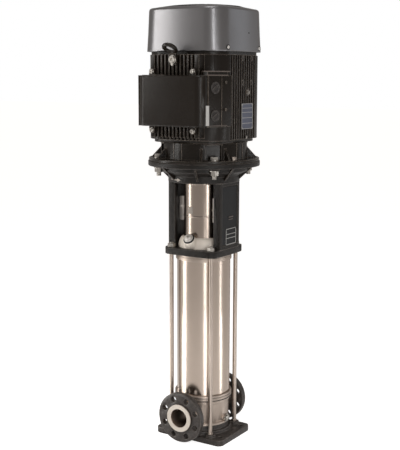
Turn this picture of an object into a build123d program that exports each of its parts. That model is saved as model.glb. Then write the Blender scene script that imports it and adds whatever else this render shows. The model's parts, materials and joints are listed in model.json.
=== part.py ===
from build123d import *
import math
import os

# Vertical multistage pump with a flange-mounted motor on top. Millimetres, +Z up.
# The origin is on the pump axis at the underside of the base plate; the inlet points to -Y.
# A size called step, inset, gap, rise or drop ties a piece to the piece that carries it.

# Outer sleeve: the size that the pump's other round pieces follow
sleeve_radius = 88.6
sleeve_wall = 2.0
sleeve_length = 475.0
socket_depth = 12.0

# Stay bolts: four studs on a square round the sleeve
stay_bolt_inset = 11.6
stay_bolt_radius = 7.0
stay_bolt_engagement = 16.0
stay_nut_flats = 22.0
stay_nut_height = 16.0

# Base plate
plate_end_margin = 53.0
plate_side_margin = 21.0
plate_thickness = 20.0
plate_corner = 20.0
foot_end_inset = 22.5
foot_side_inset = 33.0
foot_hole_radius = 7.0
seat_ring_step = 0.5
seat_ring_height = 11.0
seat_neck_inset = 2.0
seat_neck_height = 29.0
pad_size = 32.0
pad_height = 8.0
pad_chamfer = 9.0

# Pump base and its ports
body_inset = 2.6
body_height = 104.0
rim_step = 5.9
rim_height = 17.0
base_wall = 8.0
base_floor = 14.0
port_rise = 41.0
port_projection = 64.0
port_bore_radius = 31.0
port_wall = 8.0
port_lip_step = 7.0
port_lip_thickness = 5.0
drain_boss_radius = 14.0
drain_boss_rise = 16.0
drain_boss_projection = 6.0

# Loose flanges on the two ports
flange_radius = 82.55
flange_thickness = 20.0
flange_bolt_inset = 19.05
flange_hole_radius = 9.5
flange_hole_count = 8

# Stages
stage_count = 6
chamber_inset = 12.6
chamber_wall = 3.0
stack_seat_drop = 16.0
impeller_inset = 18.0
impeller_thickness = 11.0
impeller_eye_radius = 27.0
impeller_eye_drop = 8.0
first_impeller_rise = 37.0
last_impeller_drop = 64.0

# Pump head
head_collar_inset = 2.0
head_collar_height = 18.5
head_neck_inset = 4.6
head_shoulder_height = 28.0
head_crown_inset = 16.0
head_top_height = 57.0
head_wall = 9.0
head_water_height = 42.0
seal_bore_radius = 26.0
seal_height = 30.0
vent_boss_radius = 16.5
vent_tilt = 45.0
vent_boss_drop = 18.0
vent_boss_rise = 6.0

# Plugs
drain_plug_radius = 13.5
priming_plug_radius = 17.0
plug_height = 7.0
vent_screw_radius = 4.0
vent_screw_height = 5.0

# Motor stool
deck_margin = 20.0
deck_bow = 5.0
deck_thickness = 22.5
deck_corner = 27.0
stool_height = 306.5
leg_gap = 8.0
leg_side_inset = 37.0
leg_corner = 5.0
leg_recess = 4.0
leg_frame = 12.0
barrel_step = 15.0
barrel_wall = 21.0
barrel_drop = 68.0
barrel_straight = 22.0
flare_rise = 15.0
flare_inset = 36.5
stool_flange_thickness = 16.0
stool_rib_count = 8
stool_rib_thickness = 6.0
stool_rib_height = 12.0
stool_rib_reach = 20.0

# Motor flange, its bolts and the drive-end shield
shield_inset = 5.0
shield_height = 62.0
niche_depth = 13.0
niche_width = 48.0
niche_roof = 5.0
motor_bolt_step = 10.0
motor_flange_margin = 30.0
motor_flange_thickness = 9.5
stool_flange_step = 2.5
motor_bolt_radius = 8.0
motor_bolt_head_flats = 24.0
motor_bolt_head_height = 13.0
motor_nut_height = 16.0
nut_pad_radius = 16.0
nut_pad_height = 6.0
spigot_inset = 25.0
spigot_height = 4.0
gusset_height = 36.0
gusset_reach = 33.0
gusset_thickness = 7.0
gusset_angle = 16.0

# Motor housing: the size that the motor's flange, shields, box and cover follow
housing_size = 290.0
housing_corner = 72.0
housing_skirt_inset = 13.0
housing_skirt_height = 10.0
housing_height = 274.0
housing_wall = 15.0
rib_depth = 12.0
rib_pitch = 14.0
rib_groove = 8.0
rib_groove_count = 11
pad_inset = 54.0
pad_depth = 27.0
pad_foot_rise = 9.0
rear_pad_half_width = 30.0

# Terminal box on the -Y side of the motor
box_rise = 54.0
box_height = 157.0
box_depth = 59.0
box_cover_depth = 31.0
box_wrap = 70.0
box_front_inset = 31.0
box_back_step = 4.0
box_corner = 26.0
box_wall = 4.0
board_width = 90.0
board_height = 64.0
board_thickness = 14.0

# Rear end shield, fan and fan cover
rear_shield_height = 22.0
rear_shield_inset = 4.0
rear_boss_wall = 10.0
cover_overhang = 7.5
cover_corner_step = 1.0
cover_rise = 10.5
cover_side_height = 132.0
cover_lean = 5.5
cover_roof_height = 17.0
cover_roof_inset = 36.5
cover_wall = 2.5
slot_count = 20
slot_inner_radius = 34.0
slot_margin = 12.0
slot_inner_width = 4.0
slot_outer_width = 14.0
fan_hub_radius = 34.0
fan_hub_height = 46.0
fan_rise = 53.0
fan_tip_inset = 30.5
blade_count = 8
blade_thickness = 3.0
blade_lean = 18.0

# Shafts, rotor, stator and bearings
pump_shaft_radius = 11.0
pump_shaft_drop = 33.0
pump_shaft_grip = 48.0
motor_shaft_radius = 21.0
motor_shaft_drop = 117.0
shaft_body_step = 6.0
rear_journal_radius = 18.0
core_rise = 49.0
core_drop = 60.0
rotor_radius = 72.0
rotor_gap = 1.0
bearing_outer_radius = 45.0
bearing_width = 23.0
front_bearing_rise = 27.0

# Coupling and guards
coupling_radius = 38.0
coupling_length = 110.0
coupling_grip = 40.0
coupling_split = 3.0
guard_inset = 2.0
guard_wall = 1.5
guard_length = 190.0
guard_split = 2.0
guard_bead_rise = 68.0
guard_bead_width = 4.0
guard_bead_step = 1.5
guard_tab_offset = 34.0
guard_tab_gap = 1.0
guard_tab_rise = 50.0
guard_tab_height = 80.0

# Lifting eyes
eye_foot_width = 30.0
eye_drop = 15.0
eye_thickness = 10.0
eye_ring_radius = 25.0
eye_hole_radius = 14.0
eye_reach = 24.0
eye_rise = 33.0
eye_lean = 35.0
eye_bolt_radius = 11.0
eye_bolt_height = 7.0

# Clearances, each one radial or to a side
fit_gap = 0.05
thread_gap = 0.1
hole_gap = 0.8
loose_gap = 0.5

# Widths and radii that follow
stay_offset = sleeve_radius - stay_bolt_inset
plate_length = 2 * (stay_offset + plate_end_margin)
plate_width = 2 * (stay_offset + plate_side_margin)
socket_radius = sleeve_radius + fit_gap
rim_radius = sleeve_radius + rim_step
body_radius = sleeve_radius - body_inset
port_neck_radius = port_bore_radius + port_wall
port_lip_radius = port_neck_radius + port_lip_step
port_reach = body_radius + port_projection
drain_boss_reach = body_radius + drain_boss_projection
chamber_radius = sleeve_radius - chamber_inset
head_neck_radius = sleeve_radius - head_neck_inset
head_crown_radius = head_neck_radius - head_crown_inset
guard_radius = head_crown_radius - guard_inset
deck_half = stay_offset + deck_margin
leg_inner = guard_radius + leg_gap
leg_outer = deck_half + deck_bow
leg_half_width = deck_half - leg_side_inset
barrel_radius = leg_outer + barrel_step
barrel_bore_radius = barrel_radius - barrel_wall
housing_half = housing_size / 2
housing_bore_radius = housing_half - rib_depth - housing_wall
shield_radius = housing_half - shield_inset
motor_bolt_circle = shield_radius + motor_bolt_step
motor_bolt_offset = motor_bolt_circle / math.sqrt(2)
motor_bolt_hole_radius = motor_bolt_radius + hole_gap
motor_flange_radius = motor_bolt_circle + motor_flange_margin
stool_flange_radius = motor_flange_radius + stool_flange_step
spigot_radius = motor_bolt_circle - spigot_inset
flare_radius = stool_flange_radius - flare_inset
pad_half_width = housing_half - pad_inset
pad_face = housing_half + pad_depth
box_front = housing_half + box_depth
box_seam = box_front - box_cover_depth
cover_size = housing_size + 2 * cover_overhang
cover_corner = housing_corner + cover_corner_step
slot_outer_radius = cover_size / 2 - cover_roof_inset - slot_margin
fan_radius = cover_size / 2 - fan_tip_inset
shaft_body_radius = motor_shaft_radius + shaft_body_step

# Heights that follow, from the base plate up
pad_top = plate_thickness + pad_height
base_seat = plate_thickness + seat_neck_height
port_height = base_seat + port_rise
base_top = base_seat + body_height
sleeve_bottom = base_top - socket_depth
sleeve_top = sleeve_bottom + sleeve_length
head_bottom = sleeve_top - socket_depth
stool_bottom = head_bottom + head_collar_height
stool_deck = stool_bottom + deck_thickness
head_top = stool_bottom + head_top_height
motor_seat = stool_bottom + stool_height
flange_bottom = motor_seat - stool_flange_thickness
bolt_seat = motor_seat + motor_flange_thickness
nut_seat = flange_bottom - nut_pad_height
barrel_bottom = motor_seat - barrel_drop
flare_start = barrel_bottom + barrel_straight
shield_top = motor_seat + shield_height
housing_top = shield_top + housing_height
box_bottom = shield_top + box_rise
cover_bottom = housing_top + cover_rise
cover_roof = cover_bottom + cover_side_height
cover_top = cover_roof + cover_roof_height
fan_bottom = housing_top + fan_rise
motor_shaft_bottom = motor_seat - motor_shaft_drop
coupling_top = motor_shaft_bottom + coupling_grip
coupling_bottom = coupling_top - coupling_length
pump_shaft_top = coupling_bottom + pump_shaft_grip
front_bearing_bottom = motor_seat + front_bearing_rise
rear_bearing_bottom = housing_top - bearing_width
core_bottom = shield_top + core_rise
core_length = housing_height - core_rise - core_drop

os.makedirs("parts", exist_ok=True)


def save(part, name):
    part.label = name
    export_step(part, "parts/" + name + ".step")


# Base plate: a thick casting with a raised ring for the pump and four pads for the stay bolts
with BuildPart() as base_plate:
    with BuildSketch():
        RectangleRounded(plate_length, plate_width, plate_corner)
    extrude(amount=plate_thickness)
    with BuildSketch(Plane.XY.offset(plate_thickness)):
        with GridLocations(2 * stay_offset, 2 * stay_offset, 2, 2):
            Rectangle(pad_size, pad_size)
        chamfer(vertices(), pad_chamfer)
    extrude(amount=pad_height)
    with BuildSketch(Plane.XZ):
        with BuildLine():
            Polyline(
                (0, plate_thickness),
                (rim_radius + seat_ring_step, plate_thickness),
                (rim_radius + seat_ring_step, plate_thickness + seat_ring_height),
                (body_radius - seat_neck_inset, plate_thickness + seat_ring_height),
                (body_radius - seat_neck_inset, base_seat),
                (0, base_seat),
                close=True,
            )
        make_face()
    revolve(axis=Axis.Z)
    with BuildSketch():
        with GridLocations(plate_length - 2 * foot_end_inset, plate_width - 2 * foot_side_inset, 2, 2):
            Circle(foot_hole_radius)
    extrude(amount=plate_thickness, mode=Mode.SUBTRACT)
    with BuildSketch(Plane.XY.offset(pad_top)):
        with GridLocations(2 * stay_offset, 2 * stay_offset, 2, 2):
            Circle(stay_bolt_radius + thread_gap)
    extrude(amount=-stay_bolt_engagement, mode=Mode.SUBTRACT)
save(base_plate.part, "base_plate")

# Pump base: a stainless bowl with an inlet port and an outlet port in line
with BuildPart() as pump_base:
    with BuildSketch(Plane.XZ):
        with BuildLine():
            Polyline(
                (0, base_seat),
                (body_radius, base_seat),
                (body_radius, base_top - rim_height),
                (rim_radius, base_top - rim_height),
                (rim_radius, base_top),
                (0, base_top),
                close=True,
            )
        make_face()
    revolve(axis=Axis.Z)
    with BuildSketch(Plane.XZ):
        with Locations((0, port_height)):
            Circle(port_neck_radius)
    extrude(amount=port_reach, both=True)
    for side in (-1, 1):
        with BuildSketch(Plane.XZ.offset(side * (port_reach - port_lip_thickness))):
            with Locations((0, port_height)):
                Circle(port_lip_radius)
        extrude(amount=side * port_lip_thickness)
    with BuildSketch(Plane.YZ):
        with Locations((0, base_seat + drain_boss_rise)):
            RegularPolygon(drain_boss_radius, 6)
    extrude(amount=drain_boss_reach)
    with BuildSketch(Plane.XY.offset(sleeve_bottom)):
        Circle(socket_radius)
    extrude(until=Until.LAST, mode=Mode.SUBTRACT)
    with BuildSketch(Plane.XY.offset(base_seat + base_floor)):
        Circle(body_radius - base_wall)
    extrude(until=Until.LAST, mode=Mode.SUBTRACT)
    with BuildSketch(Plane.XZ):
        with Locations((0, port_height)):
            Circle(port_bore_radius)
    extrude(amount=port_reach, both=True, mode=Mode.SUBTRACT)
save(pump_base.part, "pump_base")

# Loose flanges: each one turns freely on its port, behind the lip
flange_front = port_reach - port_lip_thickness - loose_gap
for name, side in (("inlet_flange", 1), ("outlet_flange", -1)):
    with BuildPart() as loose_flange:
        with BuildSketch(Plane.XZ.offset(side * flange_front)):
            with Locations((0, port_height)):
                Circle(flange_radius)
                Circle(port_neck_radius + loose_gap, mode=Mode.SUBTRACT)
                with PolarLocations(flange_radius - flange_bolt_inset, flange_hole_count, 180 / flange_hole_count):
                    Circle(flange_hole_radius, mode=Mode.SUBTRACT)
        extrude(amount=-side * flange_thickness)
    save(loose_flange.part, name)

# Outer sleeve: a thin tube between the pump base and the pump head
with BuildPart() as outer_sleeve:
    with BuildSketch(Plane.XY.offset(sleeve_bottom)):
        Circle(sleeve_radius)
        Circle(sleeve_radius - sleeve_wall, mode=Mode.SUBTRACT)
    extrude(amount=sleeve_length)
save(outer_sleeve.part, "outer_sleeve")

# Stay bolts: four long studs that clamp base, sleeve and head together
with BuildPart() as stay_bolts:
    with BuildSketch(Plane.XY.offset(pad_top - stay_bolt_engagement)):
        with GridLocations(2 * stay_offset, 2 * stay_offset, 2, 2):
            Circle(stay_bolt_radius)
    extrude(amount=stool_deck - pad_top + stay_bolt_engagement)
save(stay_bolts.part, "stay_bolts")

with BuildPart() as stay_bolt_nuts:
    with BuildSketch(Plane.XY.offset(stool_deck)):
        with GridLocations(2 * stay_offset, 2 * stay_offset, 2, 2):
            RegularPolygon(stay_nut_flats / 2, 6, major_radius=False)
    extrude(amount=stay_nut_height)
save(stay_bolt_nuts.part, "stay_bolt_nuts")

# Chamber stack: the tube of stage chambers around the impellers, clamped under the pump head
stack_bottom = base_top - stack_seat_drop
with BuildPart() as chamber_stack:
    with BuildSketch(Plane.XY.offset(stack_bottom)):
        Circle(chamber_radius)
        Circle(chamber_radius - chamber_wall, mode=Mode.SUBTRACT)
    extrude(amount=sleeve_top - stack_bottom)
save(chamber_stack.part, "chamber_stack")

# Impellers: one closed wheel for each stage, with its eye below
first_impeller = base_top + first_impeller_rise
last_impeller = head_bottom - last_impeller_drop
with BuildPart() as impellers:
    for stage in range(stage_count):
        wheel_bottom = first_impeller + (last_impeller - first_impeller) * stage / (stage_count - 1)
        with BuildSketch(Plane.XY.offset(wheel_bottom)):
            Circle(chamber_radius - impeller_inset)
            Circle(pump_shaft_radius + fit_gap, mode=Mode.SUBTRACT)
        extrude(amount=impeller_thickness)
        with BuildSketch(Plane.XY.offset(wheel_bottom)):
            Circle(impeller_eye_radius)
            Circle(pump_shaft_radius + fit_gap, mode=Mode.SUBTRACT)
        extrude(amount=-impeller_eye_drop)
save(impellers.part, "impellers")

pump_shaft_bottom = base_top - pump_shaft_drop
with BuildPart() as pump_shaft:
    with BuildSketch(Plane.XY.offset(pump_shaft_bottom)):
        Circle(pump_shaft_radius)
    extrude(amount=pump_shaft_top - pump_shaft_bottom)
save(pump_shaft.part, "pump_shaft")

# Pump head: a stainless cover whose shoulder stands up through the stool's deck
head_collar_radius = rim_radius - head_collar_inset
head_bore_radius = head_neck_radius - head_wall
with BuildPart() as pump_head:
    with BuildSketch(Plane.XZ):
        with BuildLine():
            Polyline(
                (seal_bore_radius, head_top),
                (head_crown_radius, head_top),
                (head_neck_radius, stool_bottom + head_shoulder_height),
                (head_neck_radius, stool_bottom),
                (head_collar_radius, stool_bottom),
                (head_collar_radius, head_bottom),
                (socket_radius, head_bottom),
                (socket_radius, sleeve_top),
                (head_bore_radius, sleeve_top),
                (head_bore_radius, head_bottom + head_water_height),
                (seal_bore_radius, head_bottom + head_water_height),
                close=True,
            )
        make_face()
    revolve(axis=Axis.Z)
    vent_plane = Plane(
        origin=(0, -head_neck_radius, head_top - vent_boss_rise),
        z_dir=(0, -math.sin(math.radians(vent_tilt)), math.cos(math.radians(vent_tilt))),
    )
    with BuildSketch(vent_plane.offset(-vent_boss_drop)):
        Circle(vent_boss_radius)
    extrude(amount=vent_boss_drop + vent_boss_rise)
save(pump_head.part, "pump_head")

# Plugs: the drain plug in the base, the priming plug in the head and its small vent screw
with BuildPart() as drain_plug:
    with BuildSketch(Plane.YZ.offset(drain_boss_reach)):
        with Locations((0, base_seat + drain_boss_rise)):
            RegularPolygon(drain_plug_radius, 6)
    extrude(amount=plug_height)
save(drain_plug.part, "drain_plug")

vent_face = vent_plane.offset(vent_boss_rise)
with BuildPart() as priming_plug:
    with BuildSketch(vent_face):
        RegularPolygon(priming_plug_radius, 6)
        Circle(vent_screw_radius + loose_gap, mode=Mode.SUBTRACT)
    extrude(amount=plug_height)
save(priming_plug.part, "priming_plug")

with BuildPart() as vent_screw:
    with BuildSketch(vent_face):
        Circle(vent_screw_radius)
    extrude(amount=plug_height + vent_screw_height)
save(vent_screw.part, "vent_screw")

# Motor stool: deck, two legs and a barrel that flares out into a ribbed motor flange
with BuildPart() as motor_stool:
    with BuildSketch(Plane.XY.offset(stool_bottom)):
        with BuildLine():
            for turn in range(4):
                ThreePointArc(
                    Vector(-deck_half, -deck_half).rotate(Axis.Z, 90 * turn),
                    Vector(0, -deck_half - deck_bow).rotate(Axis.Z, 90 * turn),
                    Vector(deck_half, -deck_half).rotate(Axis.Z, 90 * turn),
                )
        make_face()
        fillet(vertices(), deck_corner)
        Circle(head_neck_radius + loose_gap, mode=Mode.SUBTRACT)
    extrude(amount=deck_thickness)
    with BuildSketch(Plane.XY.offset(stool_deck)):
        for side in (-1, 1):
            with Locations((side * (leg_inner + leg_outer) / 2, 0)):
                Rectangle(leg_outer - leg_inner, 2 * leg_half_width)
        fillet(vertices().group_by(Axis.X)[0] + vertices().group_by(Axis.X)[-1], leg_corner)
        Circle(head_neck_radius + loose_gap, mode=Mode.SUBTRACT)
    extrude(amount=barrel_bottom + leg_frame - stool_deck)
    with BuildSketch(Plane.XZ):
        with BuildLine():
            Polyline(
                (barrel_bore_radius, barrel_bottom),
                (barrel_radius, barrel_bottom),
                (barrel_radius, flare_start),
                (flare_radius, flare_start + flare_rise),
                (flare_radius, flange_bottom),
                (stool_flange_radius, flange_bottom),
                (stool_flange_radius, motor_seat),
                (spigot_radius + loose_gap, motor_seat),
                (spigot_radius + loose_gap, motor_seat - spigot_height - loose_gap),
                (barrel_bore_radius, motor_seat - spigot_height - loose_gap),
                close=True,
            )
        make_face()
    revolve(axis=Axis.Z)
    rib_root = flare_radius - stool_rib_thickness
    for rib in range(stool_rib_count):
        with BuildSketch(Plane.XZ.rotated((0, 0, 360 * (rib + 0.5) / stool_rib_count))):
            with BuildLine():
                Polyline(
                    (rib_root, flange_bottom - stool_rib_height),
                    (flare_radius + stool_rib_reach, flange_bottom),
                    (rib_root, flange_bottom),
                    close=True,
                )
            make_face()
        extrude(amount=stool_rib_thickness / 2, both=True)
    recess_height = barrel_bottom - stool_deck - 2 * leg_frame
    for side in (-1, 1):
        with BuildSketch(Plane.YZ.offset(side * leg_outer)):
            with Locations((0, stool_deck + leg_frame + recess_height / 2)):
                Rectangle(2 * (leg_half_width - leg_frame), recess_height)
        extrude(amount=-side * leg_recess, mode=Mode.SUBTRACT)
    with BuildSketch(Plane.XY.offset(flange_bottom)):
        with GridLocations(2 * motor_bolt_offset, 2 * motor_bolt_offset, 2, 2):
            Circle(nut_pad_radius)
    extrude(amount=-nut_pad_height)
    with BuildSketch(Plane.XY.offset(nut_seat)):
        with GridLocations(2 * motor_bolt_offset, 2 * motor_bolt_offset, 2, 2):
            Circle(nut_pad_radius)
    extrude(amount=flare_start - nut_seat, mode=Mode.SUBTRACT)
    with BuildSketch(Plane.XY.offset(motor_seat)):
        with GridLocations(2 * motor_bolt_offset, 2 * motor_bolt_offset, 2, 2):
            Circle(motor_bolt_hole_radius)
    extrude(amount=-stool_flange_thickness - nut_pad_height, mode=Mode.SUBTRACT)
    with BuildSketch(Plane.XY.offset(stool_bottom)):
        with GridLocations(2 * stay_offset, 2 * stay_offset, 2, 2):
            Circle(stay_bolt_radius + hole_gap)
    extrude(amount=deck_thickness, mode=Mode.SUBTRACT)
save(motor_stool.part, "motor_stool")

# Coupling guards: thin half shells with a raised bead and a tab at each side, between the legs
tab_inner = math.sqrt((guard_radius - guard_wall / 2) ** 2 - guard_tab_offset**2)
tab_outer = leg_inner - guard_tab_gap
bead_bottom = head_top + guard_bead_rise - guard_bead_width / 2
for name, side in (("coupling_guard_front", -1), ("coupling_guard_rear", 1)):
    with BuildPart() as coupling_guard:
        for bottom, length, step in (
            (head_top, guard_length, 0.0),
            (bead_bottom, guard_bead_width, guard_bead_step),
        ):
            with BuildSketch(Plane.XY.offset(bottom)):
                Circle(guard_radius + step)
                Circle(guard_radius - guard_wall, mode=Mode.SUBTRACT)
                with Locations((0, -side * (guard_radius + guard_bead_step))):
                    cut_size = 2 * (guard_radius + guard_bead_step)
                    Rectangle(cut_size, cut_size + guard_split, mode=Mode.SUBTRACT)
            extrude(amount=length)
        with BuildSketch(Plane.XY.offset(head_top + guard_tab_rise)):
            for tab_side in (-1, 1):
                with Locations((tab_side * (tab_inner + tab_outer) / 2, side * guard_tab_offset)):
                    Rectangle(tab_outer - tab_inner, guard_wall)
        extrude(amount=guard_tab_height)
    save(coupling_guard.part, name)

# Drive-end shield: motor flange, a cylinder with a niche above each bolt, and gussets beside them
with BuildPart() as motor_flange_shield:
    with BuildSketch(Plane.XZ):
        with BuildLine():
            Polyline(
                (motor_shaft_radius + hole_gap, motor_seat - spigot_height),
                (spigot_radius, motor_seat - spigot_height),
                (spigot_radius, motor_seat),
                (motor_flange_radius, motor_seat),
                (motor_flange_radius, bolt_seat),
                (shield_radius, bolt_seat),
                (shield_radius, shield_top),
                (bearing_outer_radius + fit_gap, shield_top),
                (bearing_outer_radius + fit_gap, front_bearing_bottom),
                (motor_shaft_radius + hole_gap, front_bearing_bottom),
                close=True,
            )
        make_face()
    revolve(axis=Axis.Z)
    with BuildSketch(Plane.XY.offset(bolt_seat)):
        with PolarLocations(shield_radius, 4, 45):
            Rectangle(2 * niche_depth, niche_width)
    extrude(amount=shield_top - bolt_seat - niche_roof, mode=Mode.SUBTRACT)
    for bolt in range(4):
        for lean in (-gusset_angle, gusset_angle):
            with BuildSketch(Plane.XZ.rotated((0, 0, 45 + 90 * bolt + lean))):
                with BuildLine():
                    Polyline(
                        (shield_radius - niche_depth, bolt_seat),
                        (shield_radius + gusset_reach, bolt_seat),
                        (shield_radius, bolt_seat + gusset_height),
                        (shield_radius - niche_depth, bolt_seat + gusset_height),
                        close=True,
                    )
                make_face()
            extrude(amount=gusset_thickness / 2, both=True)
    with BuildSketch(Plane.XY.offset(motor_seat)):
        with GridLocations(2 * motor_bolt_offset, 2 * motor_bolt_offset, 2, 2):
            Circle(motor_bolt_hole_radius)
    extrude(amount=motor_flange_thickness, mode=Mode.SUBTRACT)
save(motor_flange_shield.part, "motor_flange_shield")

# Motor flange bolts: heads on the motor's flange, nuts on pads under the stool's flange
with BuildPart() as motor_flange_bolts:
    with BuildSketch(Plane.XY.offset(bolt_seat)):
        with GridLocations(2 * motor_bolt_offset, 2 * motor_bolt_offset, 2, 2):
            RegularPolygon(motor_bolt_head_flats / 2, 6, major_radius=False)
    extrude(amount=motor_bolt_head_height)
    with BuildSketch(Plane.XY.offset(bolt_seat)):
        with GridLocations(2 * motor_bolt_offset, 2 * motor_bolt_offset, 2, 2):
            Circle(motor_bolt_radius)
    extrude(amount=nut_seat - bolt_seat)
save(motor_flange_bolts.part, "motor_flange_bolts")

with BuildPart() as motor_flange_nuts:
    with BuildSketch(Plane.XY.offset(nut_seat)):
        with GridLocations(2 * motor_bolt_offset, 2 * motor_bolt_offset, 2, 2):
            RegularPolygon(motor_bolt_head_flats / 2, 6, major_radius=False)
    extrude(amount=-motor_nut_height)
save(motor_flange_nuts.part, "motor_flange_nuts")

# Motor housing: a rounded square with smooth corners and cooling ribs on its four flats
skirt_top = shield_top + housing_skirt_height
skirt_size = housing_size - 2 * housing_skirt_inset
box_top = box_bottom + box_height
with BuildPart() as motor_housing:
    with BuildSketch(Plane.XY.offset(shield_top)):
        RectangleRounded(skirt_size, skirt_size, housing_corner - housing_skirt_inset)
    extrude(amount=housing_skirt_height)
    with BuildSketch(Plane.XY.offset(skirt_top)):
        RectangleRounded(housing_size, housing_size, housing_corner)
    extrude(amount=housing_top - skirt_top)
    for bottom, top in ((skirt_top + pad_foot_rise, box_bottom - loose_gap), (box_top + loose_gap, housing_top)):
        with BuildSketch(Plane.XY.offset(bottom)):
            with Locations((0, -housing_half)):
                Rectangle(2 * pad_half_width, 2 * pad_depth)
        extrude(amount=top - bottom)
    with BuildSketch(Plane.XY.offset(box_top)):
        with Locations((0, housing_half)):
            Rectangle(2 * rear_pad_half_width, 2 * pad_depth)
    extrude(until=Until.LAST)
    with BuildSketch(Plane.XY.offset(skirt_top)):
        with PolarLocations(housing_half, 4):
            with GridLocations(2 * rib_depth, rib_pitch, 1, rib_groove_count):
                Rectangle(2 * rib_depth, rib_groove)
        with Locations((0, -housing_half - pad_depth / 2)):
            with GridLocations(rib_pitch, pad_depth, rib_groove_count, 1):
                Rectangle(rib_groove, pad_depth + rib_depth)
    extrude(amount=housing_top - skirt_top, mode=Mode.SUBTRACT)
    with BuildSketch(Plane.XY.offset(shield_top)):
        Circle(housing_bore_radius)
    extrude(amount=housing_height, mode=Mode.SUBTRACT)
save(motor_housing.part, "motor_housing")

# Rear end shield: closes the housing and carries the rear bearing
rear_shield_size = housing_size - 2 * rear_shield_inset
with BuildPart() as rear_end_shield:
    with BuildSketch(Plane.XY.offset(housing_top)):
        RectangleRounded(rear_shield_size, rear_shield_size, housing_corner - rear_shield_inset)
    extrude(amount=rear_shield_height)
    with BuildSketch(Plane.XY.offset(rear_bearing_bottom)):
        Circle(bearing_outer_radius + rear_boss_wall)
    extrude(amount=bearing_width)
    with BuildSketch(Plane.XY.offset(rear_bearing_bottom)):
        Circle(bearing_outer_radius + fit_gap)
    extrude(amount=bearing_width, mode=Mode.SUBTRACT)
    with BuildSketch(Plane.XY.offset(housing_top)):
        Circle(rear_journal_radius + hole_gap)
    extrude(amount=rear_shield_height, mode=Mode.SUBTRACT)
save(rear_end_shield.part, "rear_end_shield")

# Terminal box and its cover, cut to the rounded outline of the housing behind them
box_front_half_width = housing_half - box_front_inset
box_back_half_width = housing_half + box_back_step
cavity_depth = box_depth - 2 * box_wall
for name, front, back in (("terminal_box", box_seam, 0.0), ("terminal_box_cover", box_front, box_seam)):
    with BuildPart() as box_part:
        with BuildSketch(Plane.XY.offset(box_bottom)):
            with BuildLine():
                Polyline(
                    (-box_back_half_width, box_wrap - housing_half),
                    (-box_front_half_width, -box_front),
                    (box_front_half_width, -box_front),
                    (box_back_half_width, box_wrap - housing_half),
                    close=True,
                )
            make_face()
            fillet(vertices().group_by(Axis.Y)[0], box_corner)
            RectangleRounded(housing_size, housing_size, housing_corner, mode=Mode.SUBTRACT)
            with Locations((0, -(front + back) / 2)):
                Rectangle(2 * box_back_half_width, front - back, mode=Mode.INTERSECT)
        extrude(amount=box_height)
        with BuildSketch(Plane.XY.offset(box_bottom + box_wall)):
            with Locations((0, -housing_half - box_wall - cavity_depth / 2)):
                Rectangle(2 * pad_half_width, cavity_depth)
        extrude(amount=box_height - 2 * box_wall, mode=Mode.SUBTRACT)
    save(box_part.part, name)

with BuildPart() as terminal_board:
    with BuildSketch(Plane.XZ.offset(housing_half + box_wall)):
        with Locations((0, box_bottom + box_height / 2)):
            Rectangle(board_width, board_height)
    extrude(amount=board_thickness)
save(terminal_board.part, "terminal_board")

# Lifting eyes: a ring that leans outwards from a foot, one at the front and one at the rear
eye_foot_height = housing_top - eye_drop
with BuildPart() as lifting_eyes:
    for side in (-1, 1):
        with BuildSketch(Plane.XZ.offset(-side * pad_face)):
            with Locations((0, eye_foot_height)):
                Rectangle(eye_foot_width, eye_foot_width)
        extrude(amount=-side * eye_thickness)
        ring_plane = Plane(
            origin=(0, side * (pad_face + eye_reach), eye_foot_height + eye_rise),
            x_dir=(1, 0, 0),
            z_dir=(0, -side * math.sin(math.radians(eye_lean)), math.cos(math.radians(eye_lean))),
        )
        with BuildSketch(ring_plane.offset(-eye_thickness / 2)):
            Circle(eye_ring_radius)
            Circle(eye_hole_radius, mode=Mode.SUBTRACT)
        extrude(amount=eye_thickness)
save(lifting_eyes.part, "lifting_eyes")

with BuildPart() as lifting_eye_bolts:
    for side in (-1, 1):
        with BuildSketch(Plane.XZ.offset(-side * (pad_face + eye_thickness))):
            with Locations((0, eye_foot_height)):
                Circle(eye_bolt_radius)
        extrude(amount=-side * eye_bolt_height)
save(lifting_eye_bolts.part, "lifting_eye_bolts")

# Fan cover: a hood that narrows upwards, with a sloping roof and a ring of air slots
with BuildPart() as fan_cover:
    for wall, mode in ((0.0, Mode.ADD), (cover_wall, Mode.SUBTRACT)):
        levels = (
            (cover_bottom, cover_size - 2 * wall),
            (cover_roof, cover_size - 2 * (wall + cover_lean)),
            (cover_top - wall, cover_size - 2 * (wall + cover_roof_inset)),
        )
        for (low, low_size), (high, high_size) in zip(levels, levels[1:]):
            with BuildSketch(Plane.XY.offset(low)):
                RectangleRounded(low_size, low_size, cover_corner - wall)
            with BuildSketch(Plane.XY.offset(high)):
                RectangleRounded(high_size, high_size, cover_corner - wall)
            loft(ruled=True, mode=mode)
    slot_length = slot_outer_radius - slot_inner_radius
    slot_angle = math.degrees(math.atan2(slot_length, (slot_outer_width - slot_inner_width) / 2))
    with BuildSketch(Plane.XY.offset(cover_top)):
        with PolarLocations(slot_inner_radius + slot_length / 2, slot_count):
            Trapezoid(slot_outer_width, slot_length, slot_angle, rotation=90)
    extrude(amount=-2 * cover_wall, mode=Mode.SUBTRACT)
save(fan_cover.part, "fan_cover")

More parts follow.
